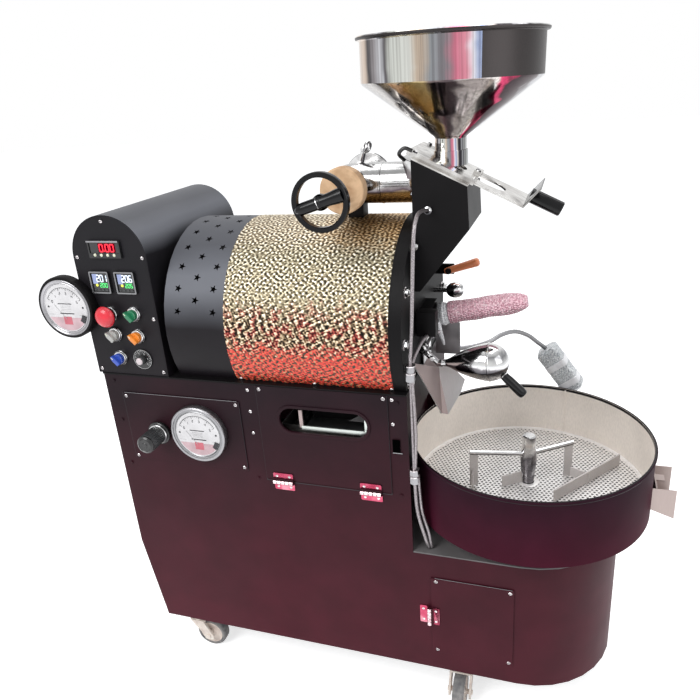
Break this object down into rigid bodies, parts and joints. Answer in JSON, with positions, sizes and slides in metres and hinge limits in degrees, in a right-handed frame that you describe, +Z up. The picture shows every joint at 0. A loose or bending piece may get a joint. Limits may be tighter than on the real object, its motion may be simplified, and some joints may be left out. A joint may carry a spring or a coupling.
{
  "type": "gas coffee roaster",
  "caption": "Floor-standing gas drum coffee roaster: castored cabinet, control box, feed hopper, damper, sampler, discharge door and stirred round cooling bin.",
  "frame": {"origin": "centre of the machine's bounding box on the floor, under the castors' lowest points", "axes": "+X along the machine from the control box to the cooling bin, +Y from front to back, +Z up"},
  "size_m": [1.19, 0.4976, 1.287],
  "materials": {
    "cabinet_paint": "satin powder coat with a faint purple cast",
    "box_paint": "satin black",
    "frame_paint": "matt",
    "dial_white": "matt white dial in a dark case",
    "dark_cast": "matt",
    "black_plastic": "satin",
    "red_plastic": "gloss",
    "green_plastic": "gloss",
    "grey_plastic": "satin",
    "orange_plastic": "gloss",
    "blue_plastic": "gloss",
    "hammered_steel": "hammered, gold to red tint",
    "drum_steel": "dark",
    "stainless": "polished",
    "chrome_steel": "mirror",
    "wood_disc": "plain",
    "orange_wood": "varnished",
    "pink_plastic": "wrinkled clear film over the grip",
    "lamp_metal": "braided",
    "castor_paint": "satin cream",
    "castor_tyre": "matt"
  },
  "bodies": {
    "machine": {"cabinet_shell": "cabinet_paint", "table_plate": "cabinet_paint", "shelf_plate": "cabinet_paint", "base_frame": "frame_paint", "gauge_panel": "cabinet_paint", "draft_gauge": "dial_white", "gas_regulator": "dark_cast", "control_box": "box_paint", "control_panel": "box_paint", "timer_display": "black_plastic", "temp_controller_left": "black_plastic", "temp_controller_right": "black_plastic", "side_gauge": "dial_white", "drive_guard": "box_paint", "drum_cover": "hammered_steel", "rear_plate": "dark_cast", "face_plate": "dark_cast", "drive_chain": "drum_steel", "drive_motor": "dark_cast", "burner": "stainless", "feed_chute": "box_paint", "gate_housing": "stainless", "hopper": "stainless", "exhaust_duct": "stainless", "insulating_disc": "wood_disc", "discharge_spout": "stainless", "work_lamp": "lamp_metal", "sensor_leads": "lamp_metal", "bin_wall": "box_paint", "bin_floor": "stainless", "bin_outlet": "stainless", "stirrer_motor": "dark_cast", "cooling_fan": "dark_cast"},
    "regulator_knob": {"regulator_knob": "black_plastic"},
    "access_door": {"access_door": "cabinet_paint"},
    "lower_door": {"lower_door": "cabinet_paint"},
    "estop_button": {"estop_button": "red_plastic"},
    "selector_green": {"selector_green": "green_plastic"},
    "selector_grey": {"selector_grey": "grey_plastic"},
    "selector_orange": {"selector_orange": "orange_plastic"},
    "selector_blue": {"selector_blue": "blue_plastic"},
    "speed_knob": {"speed_knob": "grey_plastic"},
    "drum": {"roasting_drum": "drum_steel"},
    "motor_sprocket": {"motor_sprocket": "drum_steel"},
    "hopper_gate": {"hopper_gate": "stainless"},
    "damper": {"damper_wheel": "black_plastic"},
    "sampler": {"sampler": "pink_plastic"},
    "discharge_door": {"discharge_door": "chrome_steel"},
    "side_lever": {"side_lever": "orange_wood"},
    "latch_knob": {"latch_knob": "chrome_steel"},
    "stirrer": {"stirrer": "chrome_steel"},
    "bin_gate": {"bin_gate": "stainless"},
    "fork_front_left": {"castor_fork_front_left": "castor_paint"},
    "wheel_front_left": {"castor_wheel_front_left": "castor_tyre"},
    "fork_front_right": {"castor_fork_front_right": "castor_paint"},
    "wheel_front_right": {"castor_wheel_front_right": "castor_tyre"},
    "fork_rear_left": {"castor_fork_rear_left": "castor_paint"},
    "wheel_rear_left": {"castor_wheel_rear_left": "castor_tyre"},
    "fork_rear_right": {"castor_fork_rear_right": "castor_paint"},
    "wheel_rear_right": {"castor_wheel_rear_right": "castor_tyre"}
  },
  "joints": [
    {"name": "regulator_turn", "type": "hinge", "parent": "machine", "child": "regulator_knob", "pos_m": [-0.382, -0.19425, 0.596], "axis": [0, -1, 0], "range_deg": [-270, 270]},
    {"name": "access_door_hinge", "type": "hinge", "parent": "machine", "child": "access_door", "pos_m": [-0.029, -0.20075, 0.511], "axis": [1, 0, 0], "range_deg": [0, 100]},
    {"name": "lower_door_hinge", "type": "hinge", "parent": "machine", "child": "lower_door", "pos_m": [0.162, -0.20075, 0.239], "axis": [0, 0, -1], "range_deg": [0, 110]},
    {"name": "estop_press", "type": "slide", "parent": "machine", "child": "estop_button", "axis": [0, 1, 0], "range_m": [0, 0.004], "stiffness_N_per_m": 300},
    {"name": "selector_green_turn", "type": "hinge", "parent": "machine", "child": "selector_green", "pos_m": [-0.392, -0.19425, 0.847], "axis": [0, -1, 0], "range_deg": [-90, 0]},
    {"name": "selector_grey_turn", "type": "hinge", "parent": "machine", "child": "selector_grey", "pos_m": [-0.443, -0.19425, 0.804], "axis": [0, -1, 0], "range_deg": [-90, 0]},
    {"name": "selector_orange_turn", "type": "hinge", "parent": "machine", "child": "selector_orange", "pos_m": [-0.392, -0.19425, 0.802], "axis": [0, -1, 0], "range_deg": [-90, 0]},
    {"name": "selector_blue_turn", "type": "hinge", "parent": "machine", "child": "selector_blue", "pos_m": [-0.442, -0.19425, 0.755], "axis": [0, -1, 0], "range_deg": [-90, 0]},
    {"name": "speed_turn", "type": "hinge", "parent": "machine", "child": "speed_knob", "pos_m": [-0.392, -0.19425, 0.754], "axis": [0, -1, 0], "range_deg": [-135, 135]},
    {"name": "drum_spin", "type": "hinge", "parent": "machine", "child": "drum", "pos_m": [-0.044, -0.01925, 0.81], "axis": [1, 0, 0], "continuous": true},
    {"name": "motor_spin", "type": "hinge", "parent": "machine", "child": "motor_sprocket", "pos_m": [-0.258, -0.01925, 0.56], "axis": [1, 0, 0], "continuous": true},
    {"name": "gate_slide", "type": "slide", "parent": "machine", "child": "hopper_gate", "axis": [0.8963, 0, -0.4433], "range_m": [-0.073, 0]},
    {"name": "damper_turn", "type": "hinge", "parent": "machine", "child": "damper", "pos_m": [0.011, -0.19425, 1.054], "axis": [0, -1, 0], "range_deg": [-90, 0]},
    {"name": "sampler_slide", "type": "slide", "parent": "machine", "child": "sampler", "axis": [0.982, 0, 0.1889], "range_m": [0, 0.1]},
    {"name": "discharge_door_swing", "type": "hinge", "parent": "machine", "child": "discharge_door", "pos_m": [0.1373, -0.05425, 0.758], "axis": [0, -1, 0], "range_deg": [0, 55]},
    {"name": "side_lever_swing", "type": "hinge", "parent": "machine", "child": "side_lever", "pos_m": [0.161, 0.07375, 0.866], "axis": [0, -1, 0], "range_deg": [-28, 25]},
    {"name": "latch_turn", "type": "hinge", "parent": "machine", "child": "latch_knob", "pos_m": [0.1313, 0.06775, 0.828], "axis": [1, 0, 0], "range_deg": [-180, 180]},
    {"name": "stirrer_spin", "type": "hinge", "parent": "machine", "child": "stirrer", "pos_m": [0.331, -0.01925, 0.5], "axis": [0, 0, 1], "continuous": true},
    {"name": "bin_gate_lift", "type": "slide", "parent": "machine", "child": "bin_gate", "axis": [0, 0, 1], "range_m": [0, 0.04]},
    {"name": "swivel_front_left", "type": "hinge", "parent": "machine", "child": "fork_front_left", "pos_m": [-0.402, -0.15625, 0.08], "axis": [0, 0, 1], "continuous": true},
    {"name": "roll_front_left", "type": "hinge", "parent": "fork_front_left", "child": "wheel_front_left", "pos_m": [-0.376, -0.15625, 0.037], "axis": [0, 1, 0], "continuous": true},
    {"name": "swivel_front_right", "type": "hinge", "parent": "machine", "child": "fork_front_right", "pos_m": [0.218, -0.15625, 0.08], "axis": [0, 0, 1], "continuous": true},
    {"name": "roll_front_right", "type": "hinge", "parent": "fork_front_right", "child": "wheel_front_right", "pos_m": [0.218, -0.18225, 0.037], "axis": [1, 0, 0], "continuous": true},
    {"name": "swivel_rear_left", "type": "hinge", "parent": "machine", "child": "fork_rear_left", "pos_m": [-0.402, 0.09575, 0.08], "axis": [0, 0, 1], "continuous": true},
    {"name": "roll_rear_left", "type": "hinge", "parent": "fork_rear_left", "child": "wheel_rear_left", "pos_m": [-0.376, 0.09575, 0.037], "axis": [0, 1, 0], "continuous": true},
    {"name": "swivel_rear_right", "type": "hinge", "parent": "machine", "child": "fork_rear_right", "pos_m": [0.366, 0.09575, 0.08], "axis": [0, 0, 1], "continuous": true},
    {"name": "roll_rear_right", "type": "hinge", "parent": "fork_rear_right", "child": "wheel_rear_right", "pos_m": [0.392, 0.09575, 0.037], "axis": [0, 1, 0], "continuous": true}
  ],
  "couplings": [
    {"joint": "motor_spin", "follows": "drum_spin", "ratio": 2}
  ]
}
